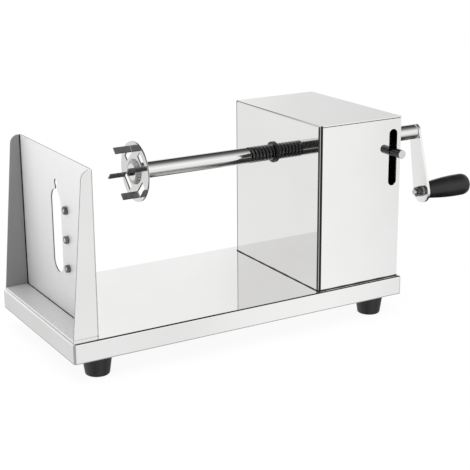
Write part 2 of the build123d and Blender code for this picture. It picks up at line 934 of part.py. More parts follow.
with BuildPart() as release_lever:
    block(across_x(lever_left), (riser_front, lever_bottom), (pivot_y, lever_top), lever_thickness)
    block(
        across_x(lever_left), (riser_front, lever_bottom), (riser_back, riser_top), lever_thickness
    )
    bars(across_x(lever_left), [(pivot_y, pivot_z)], lever_end_radius, lever_thickness)
    holes(
        across_x(lever_left),
        [(pivot_y, pivot_z)],
        m6["radius"] + running_clearance,
        lever_thickness,
    )
    holes(
        across_x(lever_left),
        half_nut_points,
        m4["radius"] + fastener_clearance,
        lever_thickness,
    )
    holes(
        across_x(lever_left), spring_peg, spring_peg_radius + hole_clearance, lever_thickness
    )
finish(release_lever, "release_lever")

with BuildPart() as release_pin:
    bars(across_y(riser_front), pin_point, pin_radius, riser_front - release_pin_front)
    fillet(release_pin.edges().group_by(Axis.Y)[0], pin_round)
finish(release_pin, "release_pin")

with BuildPart() as spring_pin:
    bars(
        across_x(lever_right), spring_peg, spring_peg_radius, -lever_thickness - spring_peg_length
    )
finish(spring_pin, "spring_pin")

nut_turns = ceil(half_nut_length / thread_pitch) + 2
turns_before_nut = int((half_nut_left - thread_start) / thread_pitch) - 1
nut_root = shaft_radius + thread_clearance
nut_crest = root_radius + thread_clearance
ridge_foot = thread_pitch - thread_root_flat + 2 * thread_clearance
nut_space = screw_thread(  # one turn, which the half nut's thread repeats
    thread_start + (turns_before_nut + 0.5) * thread_pitch,
    1,
    nut_crest - thread_clearance,
    nut_root,
    ridge_foot,
    ridge_foot - thread_slope * (thread_depth + thread_clearance),
)

with BuildPart() as half_nut:
    block(
        across_x(half_nut_left),
        (half_nut_y - half_nut_width / 2, lever_bottom),
        (half_nut_y + half_nut_width / 2, half_nut_top),
        half_nut_length,
    )
    fillet(half_nut.edges().filter_by(Axis.X), half_nut_corner)
    holes(across_x(half_nut_left), shaft_point, nut_crest, half_nut_length)
    with Locations(*[(turn * thread_pitch, 0, 0) for turn in range(nut_turns)]):
        add(nut_space, mode=Mode.SUBTRACT)
    holes(
        across_x(lever_left),
        half_nut_points,
        m4["radius"] + nut_clearance,
        -half_nut_screw_depth - half_nut_hole_past_screw,
    )
finish(half_nut, "half_nut")

with BuildPart() as half_nut_screws:
    bars(across_x(lever_right), half_nut_points, m4["head"], m4["head_height"])
    bars(
        across_x(lever_right),
        half_nut_points,
        m4["radius"],
        -lever_thickness - half_nut_screw_depth,
    )
finish(half_nut_screws, "half_nut_screws")

# ---- lever pivot -----------------------------------------------------------------------------

with BuildPart() as pivot_bracket:
    block(
        across_x(pivot_plate_left),
        (pivot_y - pivot_plate_width / 2, base_top),
        (pivot_y + pivot_plate_width / 2, pivot_z + pivot_plate_width / 2),
        pivot_plate,
    )
    fillet(pivot_bracket.edges().filter_by(Axis.X).group_by(Axis.Z)[-1], pivot_corner)
    block(
        level(base_top),
        (pivot_foot_left, pivot_y - pivot_plate_width / 2),
        (pivot_plate_left, pivot_y + pivot_plate_width / 2),
        pivot_plate,
    )
    holes(
        across_x(pivot_plate_left),
        [(pivot_y, pivot_z)],
        m6["radius"] + hole_clearance,
        pivot_plate,
    )
    holes(level(base_top), pivot_foot_points, m4["radius"] + fastener_clearance, pivot_plate)
finish(pivot_bracket, "pivot_bracket")

pivot_point = [(pivot_y, pivot_z)]
pivot_head_left = lever_right + running_clearance

with BuildPart() as pivot_bolt:
    bars(across_x(pivot_head_left), pivot_point, m6["head"], pivot_head_height)
    bars(
        across_x(pivot_head_left),
        pivot_point,
        m6["radius"],
        pivot_plate_left - m6["nut"] - thread_past_nut - pivot_head_left,
    )
finish(pivot_bolt, "pivot_bolt")

with BuildPart() as pivot_spacer:
    rings(
        across_x(pivot_plate_right),
        pivot_point,
        m6["head"],
        m6["radius"] + hole_clearance,
        pivot_spacer_length - running_clearance,
    )
finish(pivot_spacer, "pivot_spacer")

with BuildPart() as pivot_nut:
    hex_nuts(across_x(pivot_plate_left - m6["nut"]), pivot_point, m6)
finish(pivot_nut, "pivot_nut")

with BuildPart() as pivot_foot_screws:
    bars(level(base_under), pivot_foot_points, m4["head"], -m4["head_height"])
    bars(
        level(base_under),
        pivot_foot_points,
        m4["radius"],
        base_sheet + pivot_plate + m4["nut"] + thread_past_nut,
    )
finish(pivot_foot_screws, "pivot_foot_screws")

with BuildPart() as pivot_foot_nuts:
    hex_nuts(level(base_top + pivot_plate), pivot_foot_points, m4)
finish(pivot_foot_nuts, "pivot_foot_nuts")

# ---- return spring ---------------------------------------------------------------------------

hanger_top = housing_top - housing_sheet
peg_z = hanger_top - hanger_drop

with BuildPart() as spring_hanger:
    block(
        level(hanger_top),
        (spring_x - spring_coil_radius, spring_y - 2 * spring_coil_radius),
        (lever_left, spring_y + 2 * spring_coil_radius),
        -hanger_sheet,
    )
    block(
        across_x(lever_left),
        (spring_y - spring_coil_radius, peg_z - spring_coil_radius),
        (spring_y + spring_coil_radius, hanger_top),
        -hanger_sheet,
    )
    bars(across_x(lever_left), [(spring_y, peg_z)], spring_peg_radius, -spring_peg_length)
finish(spring_hanger, "spring_hanger")

eye_slack = spring_coil_radius - spring_wire_radius - spring_peg_radius - running_clearance
lower_eye_z = half_nut_screw_z + eye_slack
upper_eye_z = peg_z - eye_slack
coil_bottom = lower_eye_z + spring_coil_radius
coil_height = upper_eye_z - spring_coil_radius - coil_bottom
coil_pitch = coil_height / spring_turns
print("spring wire gap", round(coil_pitch - 2 * spring_wire_radius, 2))

with BuildPart() as return_spring:
    coil = Helix(
        coil_pitch, coil_height, spring_coil_radius, (spring_x, spring_y, coil_bottom), (0, 0, 1)
    )
    with BuildSketch(Plane(coil @ 0, z_dir=coil % 0)) as wire_end:
        Circle(spring_wire_radius)
    sweep(path=coil, is_frenet=True)
    for eye_z, coil_end in ((lower_eye_z, coil @ 0), (upper_eye_z, coil @ 1)):
        with Locations(Plane((spring_x, spring_y, eye_z), z_dir=(1, 0, 0))):
            Torus(spring_coil_radius, spring_wire_radius)
        coil_middle = Vector(spring_x, spring_y, coil_end.Z)
        leg_way = (coil_end - coil_middle).normalized()
        with Locations(coil_end):
            Sphere(spring_wire_radius + spring_joint_bulge)
        with Locations(Plane(coil_middle - leg_way * spring_joint_bulge, z_dir=leg_way)):
            Cylinder(
                spring_wire_radius + spring_joint_bulge / 2,
                spring_coil_radius + spring_joint_bulge,
                align=(Align.CENTER, Align.CENTER, Align.MIN),
            )
finish(return_spring, "return_spring")
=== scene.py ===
import json
import math

import bpy
import bmesh
from mathutils import Matrix, Vector


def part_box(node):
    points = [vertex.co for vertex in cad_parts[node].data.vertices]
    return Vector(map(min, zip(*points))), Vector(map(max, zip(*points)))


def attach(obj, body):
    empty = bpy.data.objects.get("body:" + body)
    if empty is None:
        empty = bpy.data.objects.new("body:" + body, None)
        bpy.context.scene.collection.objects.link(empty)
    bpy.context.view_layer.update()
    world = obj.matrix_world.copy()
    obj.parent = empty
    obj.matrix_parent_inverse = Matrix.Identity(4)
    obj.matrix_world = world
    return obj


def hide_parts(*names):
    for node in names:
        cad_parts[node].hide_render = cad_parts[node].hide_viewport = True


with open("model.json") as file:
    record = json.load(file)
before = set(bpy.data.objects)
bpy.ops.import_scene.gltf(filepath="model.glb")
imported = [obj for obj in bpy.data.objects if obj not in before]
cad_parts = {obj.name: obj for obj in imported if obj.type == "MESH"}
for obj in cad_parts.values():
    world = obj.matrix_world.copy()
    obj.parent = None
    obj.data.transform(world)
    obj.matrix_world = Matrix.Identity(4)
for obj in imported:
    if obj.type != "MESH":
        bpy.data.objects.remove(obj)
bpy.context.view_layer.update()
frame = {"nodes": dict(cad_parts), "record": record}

nodes = frame["nodes"]
scene = bpy.context.scene

# ---- camera ----------------------------------------------------------------------------------

# The camera is fitted to the straight edges in the photograph.
CAMERA_EYE = (-0.63707, -1.01893, 0.44419)
CAMERA_RIGHT = (0.86208, -0.50672, -0.00709)
CAMERA_UP = (0.15377, 0.24822, 0.95642)
CAMERA_BACK = (-0.48288, -0.82560, 0.29190)
CAMERA_LENS, CAMERA_SENSOR = 94.38, 36.0  # in millimetres
CAMERA_SHIFT = 0.0047  # of the picture's width
CAMERA_NEAR, CAMERA_FAR = 0.05, 30.0  # in metres

camera_data = bpy.data.cameras.new("camera")
camera_data.lens = CAMERA_LENS
camera_data.sensor_width = CAMERA_SENSOR
camera_data.shift_x = CAMERA_SHIFT
camera_data.clip_start = CAMERA_NEAR
camera_data.clip_end = CAMERA_FAR
camera = bpy.data.objects.new("camera", camera_data)
turn = Matrix((CAMERA_RIGHT, CAMERA_UP, CAMERA_BACK)).transposed().to_4x4()
camera.matrix_world = Matrix.Translation(CAMERA_EYE) @ turn
scene.collection.objects.link(camera)
scene.camera = camera
scene.view_settings.view_transform = "Standard"

# ---- places on the frame ---------------------------------------------------------------------

MM = 0.001


def low(node):
    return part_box(node)[0]


def high(node):
    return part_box(node)[1]


def middle(node):
    return (Vector(low(node)) + Vector(high(node))) / 2


SHEET = 1.5 * MM  # the bracket's and the disc's thickness
SPACER = 4.0 * MM  # from the bracket's plate to its blade
BOX_BEND = 2.6 * MM
THREAD_BEFORE_BOX = 31.0 * MM
THREAD_PAST_LEVER = 53.0 * MM

shaft_axis = middle("drive_shaft")
shaft_radius = (high("drive_shaft")[2] - low("drive_shaft")[2]) / 2
bracket_low, bracket_high = low("blade_bracket"), high("blade_bracket")
plate_left = low("blade")[0] - SPACER - SHEET
foot_top = bracket_low[2] + SHEET
near_flange_back = bracket_low[1] + SHEET
far_flange_front = bracket_high[1] - SHEET
disc_left = high("disc_weld")[0]
box_low, box_high = low("housing_shell"), high("housing_shell")
tray_low, tray_high = low("base_tray"), high("base_tray")
thread_left = box_low[0] - THREAD_BEFORE_BOX
thread_right = high("release_lever")[0] + THREAD_PAST_LEVER

# ---- node helpers ----------------------------------------------------------------------------


def grey(value, warmth=0.0):
    return (value * (1 + warmth), value, value * (1 - warmth))


class NodeTree:
    """Nodes and the links between them."""

    def __init__(self, tree):
        self.tree = tree
        self.tree.nodes.clear()

    def add(self, kind, **settings):
        node = self.tree.nodes.new(kind)
        for key, value in settings.items():
            setattr(node, key, value)
        return node

    def link(self, source, out, target, into):
        self.tree.links.new(source.outputs[out], target.inputs[into])

    def ramp(self, source, out, stops):
        """Colours along a value."""
        node = self.add("ShaderNodeValToRGB")
        self.link(source, out, node, "Fac")
        ramp = node.color_ramp
        while len(ramp.elements) < len(stops):
            ramp.elements.new(0.5)
        for element, (place, colour) in zip(ramp.elements, stops):
            element.position = place
            element.color = (*colour, 1.0)
        return node

    def blend(self, share, out, one, other):
        """One shader where the share is 0 and another where it is 1."""
        node = self.add("ShaderNodeMixShader")
        self.link(share, out, node, "Fac")
        self.link(one, 0, node, 1)
        self.link(other, 0, node, 2)
        return node


NOISE_ROUGHNESS = 0.55


class Finish(NodeTree):
    """A material that is built from nodes."""

    def __init__(self, name):
        self.material = bpy.data.materials.new(name)
        self.material.use_nodes = True
        super().__init__(self.material.node_tree)
        self.output = self.add("ShaderNodeOutputMaterial")
        self.shader = self.add("ShaderNodeBsdfPrincipled")
        self.link(self.shader, "BSDF", self.output, "Surface")
        self.place = self.add("ShaderNodeTexCoord")

    def set(self, **values):
        """The shader's own values."""
        for key, value in values.items():
            self.shader.inputs[key].default_value = value

    def noise(self, scale, detail=4.0, stretch=(1.0, 1.0, 1.0)):
        """Noise on the piece's own coordinates, in cycles per metre."""
        mapping = self.add("ShaderNodeMapping")
        mapping.inputs["Scale"].default_value = stretch
        self.link(self.place, "Object", mapping, "Vector")
        node = self.add("ShaderNodeTexNoise")
        node.inputs["Scale"].default_value = scale
        node.inputs["Detail"].default_value = detail
        node.inputs["Roughness"].default_value = NOISE_ROUGHNESS
        self.link(mapping, "Vector", node, "Vector")
        return node

    def span(self, source, out, low_end, high_end, start=0.0, end=1.0):
        """A value moved from one range to another."""
        node = self.add("ShaderNodeMapRange")
        node.inputs["From Min"].default_value = start
        node.inputs["From Max"].default_value = end
        node.inputs["To Min"].default_value = low_end
        node.inputs["To Max"].default_value = high_end
        self.link(source, out, node, "Value")
        return node

    def coordinate(self, axis):
        """The X, Y or Z of each point on the piece."""
        split = self.add("ShaderNodeSeparateXYZ")
        self.link(self.place, "Object", split, "Vector")
        return split, axis

    def between(self, axis, start, end):
        """1 where a coordinate lies between two places, and 0 elsewhere."""
        test = self.add("ShaderNodeMath", operation="COMPARE")
        self.link(*self.coordinate(axis), test, 0)
        test.inputs[1].default_value = (start + end) / 2
        test.inputs[2].default_value = (end - start) / 2
        return test

    def around(self, axis, place, reach):
        """1 where a coordinate lies near a place."""
        return self.between(axis, place - reach, place + reach)

    def times(self, one, other):
        """The product of two nodes' values."""
        product = self.add("ShaderNodeMath", operation="MULTIPLY")
        self.link(one, 0, product, 0)
        self.link(other, 0, product, 1)
        return product

    def where(self, mask, colour, rough):
        """Another colour and gloss where the mask is 1."""
        for socket, value in (("Base Color", (*colour, 1.0)), ("Roughness", rough)):
            before = self.shader.inputs[socket].links[0].from_socket
            kind = "RGBA" if socket == "Base Color" else "FLOAT"
            mix = self.add("ShaderNodeMix", data_type=kind)
            sides = [side for side in mix.inputs if side.name in "AB" and side.enabled]
            self.link(mask, 0, mix, 0)
            self.tree.links.new(before, sides[0])
            sides[1].default_value = value
            result = [out for out in mix.outputs if out.enabled][0]
            self.tree.links.new(result, self.shader.inputs[socket])

    def dull(self, mask, metal):
        """Less of a mirror where the mask is 1."""
        share = self.span(mask, 0, 1.0, metal)
        self.link(share, "Result", self.shader, "Metallic")

    def bump(self, source, out, strength, distance):
        """Relief from a value, on top of any relief before it."""
        node = self.add("ShaderNodeBump")
        node.inputs["Strength"].default_value = strength
        node.inputs["Distance"].default_value = distance
        self.link(source, out, node, "Height")
        if self.shader.inputs["Normal"].is_linked:
            before = self.shader.inputs["Normal"].links[0].from_node
            self.link(before, "Normal", node, "Normal")
        self.link(node, "Normal", self.shader, "Normal")


SPREAD = (0.3, 0.7)  # most of a noise's values lie between these
CLOUD_SCALE, LINE_SCALE, SWELL_SCALE = 9.0, 420.0, 7.0  # in cycles per metre
LINE_STRENGTH, LINE_DEPTH, SWELL_DEPTH = 0.02, 0.02 * MM, 0.6 * MM
DARK_WARMTH, LIGHT_WARMTH = 0.006, 0.003
DUST_SCALE, DUST_GLOSS, DUST_TONES = 60.0, 0.06, (0.8, 1.35)
GRAIN_STRENGTH = 0.35


def polished_steel(name, dark, light, smooth, dull, streak=(1.0, 1.0, 1.0), wave=0.0):
    """Polished steel: a faint cloud in its colour, fine polishing lines, and a sheet's waves."""
    finish = Finish(name)
    finish.set(Metallic=1.0)
    cloud = finish.noise(CLOUD_SCALE, detail=3.0)
    tones = (grey(dark, DARK_WARMTH), grey(light, LIGHT_WARMTH))
    colour = finish.ramp(cloud, "Fac", list(zip(SPREAD, tones)))
    finish.link(colour, "Color", finish.shader, "Base Color")
    lines = finish.noise(LINE_SCALE, detail=2.0, stretch=streak)
    gloss = finish.span(lines, "Fac", smooth, dull, *SPREAD)
    finish.link(gloss, "Result", finish.shader, "Roughness")
    finish.bump(lines, "Fac", LINE_STRENGTH, LINE_DEPTH)
    if wave:
        finish.bump(finish.noise(SWELL_SCALE, detail=1.0), "Fac", wave, SWELL_DEPTH)
    return finish


def black_moulding(name, colour, rough, grain, grain_depth):
    """Black rubber or plastic with a fine moulded grain and a little dust in its gloss."""
    finish = Finish(name)
    cloud = finish.noise(DUST_SCALE)
    darkest, lightest = (grey(colour * share) for share in DUST_TONES)
    shade = finish.ramp(cloud, "Fac", [(0.3, darkest), (0.75, lightest)])
    finish.link(shade, "Color", finish.shader, "Base Color")
    gloss = finish.span(cloud, "Fac", rough - DUST_GLOSS, rough + DUST_GLOSS, *SPREAD)
    finish.link(gloss, "Result", finish.shader, "Roughness")
    finish.bump(finish.noise(grain, detail=3.0), "Fac", GRAIN_STRENGTH, grain_depth)
    return finish


def lines_along(axis, share):
    """The stretch that draws a noise out into lines along an axis."""
    return tuple(share if name == axis else 1.0 for name in "XYZ")


def polished_sheet(name):
    """The bright sheet of the tray and the box, polished from front to back."""
    return polished_steel(name, 0.84, 0.88, 0.035, 0.06, lines_along("Y", 0.06), 0.04)


# ---- materials -------------------------------------------------------------------------------

sheet_steel = polished_sheet("polished_sheet")
disc_steel = polished_steel("polished_disc", 0.74, 0.84, 0.10, 0.18)
shaft_steel = polished_steel("polished_shaft", 0.82, 0.88, 0.05, 0.09, lines_along("X", 0.05))
blade_steel = polished_steel("ground_blade", 0.72, 0.80, 0.10, 0.2, lines_along("Z", 0.08))
dull_steel = polished_steel("satin_steel", 0.60, 0.70, 0.2, 0.34)
screw_steel = polished_steel("bright_screws", 0.60, 0.72, 0.14, 0.24)
dark_screws = polished_steel("dark_screws", 0.10, 0.22, 0.1, 0.2)
crank_steel = polished_steel("polished_crank", 0.84, 0.92, 0.10, 0.18)
pin_steel = polished_steel("release_pin_steel", 0.70, 0.80, 0.10, 0.2)
spring_steel = polished_steel("spring_wire", 0.50, 0.60, 0.2, 0.3)
weld_steel = polished_steel("weld_bead", 0.34, 0.62, 0.10, 0.22)
black_rubber = black_moulding("black_rubber", 0.012, 0.42, 900.0, 0.12 * MM)
black_grip = black_moulding("black_grip", 0.006, 0.26, 500.0, 0.03 * MM)
black_nylon = black_moulding("black_nylon", 0.014, 0.36, 700.0, 0.04 * MM)
# A black finish for the beads that stand in for shadow in gaps and seams: painted shade.
shadow_black = black_moulding("painted_shadow_black", 0.006, 0.45, 300.0, 0.05 * MM)

BRASS_DARK, BRASS_LIGHT = (0.66, 0.46, 0.19), (0.80, 0.60, 0.28)
BRASS_LINES = 300.0
brass = Finish("machined_brass")
brass.set(Metallic=1.0)
brass_lines = brass.noise(BRASS_LINES, detail=2.0, stretch=lines_along("X", 0.1))
brass_colour = brass.ramp(brass_lines, "Fac", list(zip(SPREAD, (BRASS_DARK, BRASS_LIGHT))))
brass.link(brass_colour, "Color", brass.shader, "Base Color")
brass.link(brass.span(brass_lines, "Fac", 0.18, 0.3), "Result", brass.shader, "Roughness")

# The bracket's left faces are satin and painted with light and shade: a far flange painted dark
# as a painted reflection, and a plate with painted light at its top, painted shade that darkens
# it downwards, and a darker foot.
FACE = 0.3 * MM
SATIN, SATIN_METAL = 0.40, 0.3
PLATE_TOP_PAINTED_LIGHT, PLATE_FOOT_PAINTED_SHADE, FOOT_PAINTED_SHADE, FAR_FLANGE_PAINTED_SHADE = grey(0.93), grey(0.70), grey(0.68), grey(0.26)
bracket_steel = polished_steel(
    "polished_bracket", 0.84, 0.88, 0.05, 0.09, lines_along("Z", 0.06), 0.02
)
left_of_plate = bracket_steel.between("X", bracket_low[0], plate_left + FACE)
plate_face = bracket_steel.around("X", plate_left, FACE)
flange_face = bracket_steel.times(
    left_of_plate, bracket_steel.around("Y", far_flange_front, FACE)
)
foot_face = bracket_steel.times(left_of_plate, bracket_steel.around("Z", foot_top, FACE))
inner_faces = bracket_steel.times(
    left_of_plate, bracket_steel.between("Y", near_flange_back - FACE, far_flange_front + FACE)
)
downwards = bracket_steel.span(
    *bracket_steel.coordinate("Z"), 1.0, 0.0, foot_top, bracket_high[2]
)
# Painted light at the plate's top, painted shade downwards and on the foot, and a painted dark
# reflection on the far flange.
bracket_steel.where(plate_face, PLATE_TOP_PAINTED_LIGHT, SATIN)
bracket_steel.where(bracket_steel.times(plate_face, downwards), PLATE_FOOT_PAINTED_SHADE, SATIN)
bracket_steel.where(foot_face, FOOT_PAINTED_SHADE, SATIN)
bracket_steel.where(flange_face, FAR_FLANGE_PAINTED_SHADE, SATIN)
bracket_steel.dull(inner_faces, SATIN_METAL)

# The sheet's cut edges are darker than its faces.
EDGE_INSET = 0.25 * MM
BEND_REACH = 2.6 * MM
CUT_EDGE, CUT_GLOSS = grey(0.16), 0.3
past_bend = bracket_steel.between("X", bracket_low[0] - MM, plate_left - BEND_REACH)
for sheet_front in (bracket_low[1], far_flange_front):
    in_sheet = bracket_steel.between(
        "Y", sheet_front + EDGE_INSET, sheet_front + SHEET - EDGE_INSET
    )
    bracket_steel.where(bracket_steel.times(past_bend, in_sheet), CUT_EDGE, CUT_GLOSS)
in_plate = bracket_steel.between("X", plate_left + EDGE_INSET, plate_left + SHEET - EDGE_INSET)
past_folds = bracket_steel.between(
    "Y", bracket_low[1] + BEND_REACH, bracket_high[1] - BEND_REACH
)
bracket_steel.where(bracket_steel.times(in_plate, past_folds), CUT_EDGE, CUT_GLOSS)

# Painted shade runs in dark lines along the folds inside the bracket.
FOLD_LINE = 1.0 * MM
FOLD_OVERLAP = 0.2 * MM
FOLD_SHADE, FOLD_GLOSS = grey(0.02), 0.4
by_plate = bracket_steel.between("X", plate_left - FOLD_LINE, plate_left + FOLD_OVERLAP)
by_flange = bracket_steel.between(
    "Y", far_flange_front - FOLD_LINE, far_flange_front + FOLD_OVERLAP
)
by_foot = bracket_steel.between("Z", foot_top - FOLD_OVERLAP, foot_top + FOLD_LINE / 2)
for fold in (by_flange, by_foot):
    bracket_steel.where(bracket_steel.times(by_plate, fold), FOLD_SHADE, FOLD_GLOSS)

# The box's upright corners have painted dark reflections in lines along their bends.
NEAR_BEND, PAST_BEND = 0.95 * MM, 3.2 * MM
LEFT_BEND_REFLECTION, FRONT_BEND_REFLECTION, LINE_GLOSS = grey(0.11), grey(0.03), 0.2
box_steel = polished_sheet("polished_box")
by_left = box_steel.between("X", box_low[0] - MM, box_low[0] + NEAR_BEND)
past_left = box_steel.between("X", box_low[0] + NEAR_BEND, box_low[0] + PAST_BEND)
for face, way in ((box_low[1], 1), (box_high[1], -1)):
    outside, near, past = (face + way * depth for depth in (-MM, NEAR_BEND, PAST_BEND))
    by_face = box_steel.between("Y", *sorted((outside, near)))
    past_face = box_steel.between("Y", *sorted((near, past)))
    box_steel.where(box_steel.times(by_left, past_face), LEFT_BEND_REFLECTION, LINE_GLOSS)
    box_steel.where(box_steel.times(past_left, by_face), FRONT_BEND_REFLECTION, LINE_GLOSS)

# The tray is painted with shade: a dark front bend, satin corners painted darker and a greyer
# lower edge.
FRONT_BEND = (0.35 * MM, 1.5 * MM)
TOP_BAND, BOTTOM_BAND, CORNER = 1.0 * MM, 0.8 * MM, 1.9 * MM
BEND_SHADE, BEND_GLOSS = grey(0.05), 0.3
CORNER_SHADE, CORNER_METAL = grey(0.36), 0.2
EDGE_SHADE, EDGE_GLOSS = grey(0.42), 0.2
tray_steel = polished_sheet("polished_tray")
front_bend = tray_steel.between("Y", *(tray_low[1] + depth for depth in FRONT_BEND))
top_band = tray_steel.between("Z", tray_high[2] - TOP_BAND, tray_high[2] + MM)
tray_steel.where(tray_steel.times(front_bend, top_band), BEND_SHADE, BEND_GLOSS)
corner = tray_steel.times(
    tray_steel.between("X", tray_low[0] - MM, tray_low[0] + CORNER),
    tray_steel.between("Y", tray_low[1] - MM, tray_low[1] + CORNER),
)
tray_steel.where(corner, CORNER_SHADE, SATIN)
tray_steel.dull(corner, CORNER_METAL)
bottom_band = tray_steel.between("Z", tray_low[2] - MM, tray_low[2] + BOTTOM_BAND)
tray_steel.where(bottom_band, EDGE_SHADE, EDGE_GLOSS)

# The prongs and the rim are darker than the disc that they are cut from.
PRONG_REACH = 30 * MM
prongs = disc_steel.between("X", disc_left - PRONG_REACH, disc_left - FACE)
disc_steel.where(prongs, grey(0.26), rough=0.22)
disc_rim = disc_steel.between("X", disc_left + EDGE_INSET, disc_left + SHEET - EDGE_INSET)
disc_steel.where(disc_rim, grey(0.20), rough=0.3)

# The shaft's thread is painted dark: painted shade in place of the darkness that its coils
# mirror.
thread = shaft_steel.between("X", thread_left, thread_right)
shaft_steel.where(thread, grey(0.20), rough=0.20)

# The release pin's side is painted dark, a painted reflection of dark surroundings, and its end
# is bright.
PIN_END = 0.25 * MM
pin_side_dark_reflection = pin_steel.between("Y", low("release_pin")[1] + PIN_END, high("release_pin")[1] + MM)
pin_steel.where(pin_side_dark_reflection, grey(0.12), rough=0.2)

finishes = {
    "polished_sheet": sheet_steel,
    "polished_plate": disc_steel,
    "shaft_steel": shaft_steel,
    "blade_steel": blade_steel,
    "mechanism_steel": dull_steel,
    "fastener_steel": screw_steel,
    "spring_wire": spring_steel,
    "brass": brass,
    "black_nylon": black_nylon,
    "black_plastic": black_grip,
    "black_rubber": black_rubber,
}
own_finishes = {
    "base_tray": tray_steel,
    "housing_shell": box_steel,
    "blade_bracket": bracket_steel,
    "fork_disc": disc_steel,
    "release_pin": pin_steel,
    "crank_arm": crank_steel,
}
for entry in frame["record"]["subparts"]:
    piece = nodes[entry["node"]]
    finish = own_finishes.get(entry["node"], finishes[entry["material_slot"]])
    piece.data.materials.clear()
    piece.data.materials.append(finish.material)

# ---- small pieces ----------------------------------------------------------------------------


def skin(shape, loops, ring=False):
    """Faces from each loop of points to the next. A ring's last loop joins its first, and other
    skins have closed ends."""
    for loop, after in zip(loops, loops[1:] + (loops[:1] if ring else [])):
        for step in range(len(loop)):
            other = (step + 1) % len(loop)
            shape.faces.new((loop[step], loop[other], after[other], after[step]))
    if not ring:
        shape.faces.new(list(reversed(loops[0])))
        shape.faces.new(loops[-1])


def finished_mesh(shape, name):
    bmesh.ops.recalc_face_normals(shape, faces=shape.faces)
    mesh = bpy.data.meshes.new(name)
    shape.to_mesh(mesh)
    shape.free()
    return mesh


def turned(profile, segments=48, bend=None, ring=False):
    """A mesh turned round Z from pairs of radius and height. bend moves each of its points, and a
    ring's last pair joins its first."""
    shape = bmesh.new()
    loops = []
    for radius, height in profile:
        loop = []
        for step in range(segments):
            angle = 2 * math.pi * step / segments
            r, h = bend(radius, angle, height) if bend else (radius, height)
            loop.append(shape.verts.new((r * math.cos(angle), r * math.sin(angle), h)))
        loops.append(loop)
    skin(shape, loops, ring)
    return finished_mesh(shape, "turned")


def facing(direction):
    """The turn that takes Z to a direction."""
    return Vector(direction).to_track_quat("Z", "Y").to_matrix().to_4x4()


def add_piece(name, mesh, finish, body, stands_for=(), smooth=30.0):
    """Shows a mesh as a piece that moves with a body."""
    mesh.name = name
    mesh.materials.clear()
    mesh.materials.append(finish.material)
    mesh.shade_smooth()
    mesh.set_sharp_from_angle(angle=math.radians(smooth))
    piece = bpy.data.objects.new(name, mesh)
    scene.collection.objects.link(piece)
    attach(piece, body)
    if stands_for:
        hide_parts(*stands_for)


RANDOM_MAX, RANDOM_VALUE = 3, 1  # the sockets of a node that draws a random number


def repeated(mesh, finish, places, direction, seed):
    """One small mesh at each place, all facing one way, each turned by its own angle."""
    group = bpy.data.node_groups.new("repeated", "GeometryNodeTree")
    sockets = group.interface
    sockets.new_socket("Geometry", in_out="INPUT", socket_type="NodeSocketGeometry")
    shape_socket = sockets.new_socket("Shape", in_out="INPUT", socket_type="NodeSocketObject")
    finish_socket = sockets.new_socket("Finish", in_out="INPUT", socket_type="NodeSocketMaterial")
    sockets.new_socket("Geometry", in_out="OUTPUT", socket_type="NodeSocketGeometry")
    start = group.nodes.new("NodeGroupInput")
    end = group.nodes.new("NodeGroupOutput")
    info = group.nodes.new("GeometryNodeObjectInfo")
    angle = group.nodes.new("FunctionNodeRandomValue")
    angle.inputs["Seed"].default_value = seed
    angle.inputs[RANDOM_MAX].default_value = 2 * math.pi
    around = group.nodes.new("ShaderNodeCombineXYZ")
    rotation = group.nodes.new("FunctionNodeEulerToRotation")
    instances = group.nodes.new("GeometryNodeInstanceOnPoints")
    real = group.nodes.new("GeometryNodeRealizeInstances")
    painted = group.nodes.new("GeometryNodeSetMaterial")
    link = group.links.new
    link(start.outputs["Shape"], info.inputs["Object"])
    link(start.outputs["Geometry"], instances.inputs["Points"])
    link(info.outputs["Geometry"], instances.inputs["Instance"])
    link(angle.outputs[RANDOM_VALUE], around.inputs["Z"])
    link(around.outputs["Vector"], rotation.inputs["Euler"])
    link(rotation.outputs["Rotation"], instances.inputs["Rotation"])
    link(instances.outputs["Instances"], real.inputs["Geometry"])
    link(real.outputs["Geometry"], painted.inputs["Geometry"])
    link(start.outputs["Finish"], painted.inputs["Material"])
    link(painted.outputs["Geometry"], end.inputs["Geometry"])

    basis = facing(direction)
    points = bpy.data.meshes.new("places")
    points.from_pydata([basis.inverted() @ Vector(place) for place in places], [], [])
    holder = bpy.data.objects.new("holder", points)
    one = bpy.data.objects.new("one", mesh)
    scene.collection.objects.link(holder)
    scene.collection.objects.link(one)
    modifier = holder.modifiers.new("repeated", "NODES")
    modifier.node_group = group
    modifier[shape_socket.identifier] = one
    modifier[finish_socket.identifier] = finish.material
    result = bpy.data.meshes.new_from_object(
        holder.evaluated_get(bpy.context.evaluated_depsgraph_get())
    )
    result.transform(basis)
    bpy.data.objects.remove(holder)
    bpy.data.objects.remove(one)
    return result


LEFT, RIGHT = (-1, 0, 0), (1, 0, 0)


def add_fasteners(name, mesh, finish, places, direction, seed, body, node):
    """Screws or nuts of one shape, in place of a node's plain ones."""
    fasteners = repeated(mesh, finish, places, direction, seed)
    add_piece(name, fasteners, finish, body, [node])


NUT_FLATS = {"m4": 7.0 * MM, "m6": 10.0 * MM}
NUT_BORE = {"m4": 2.0 * MM, "m6": 3.0 * MM}
NUT_HEIGHT = {"m4": 3.2 * MM, "m6": 5.0 * MM}
NUT_LEAD = 0.3 * MM
NUT_SEGMENTS = 72


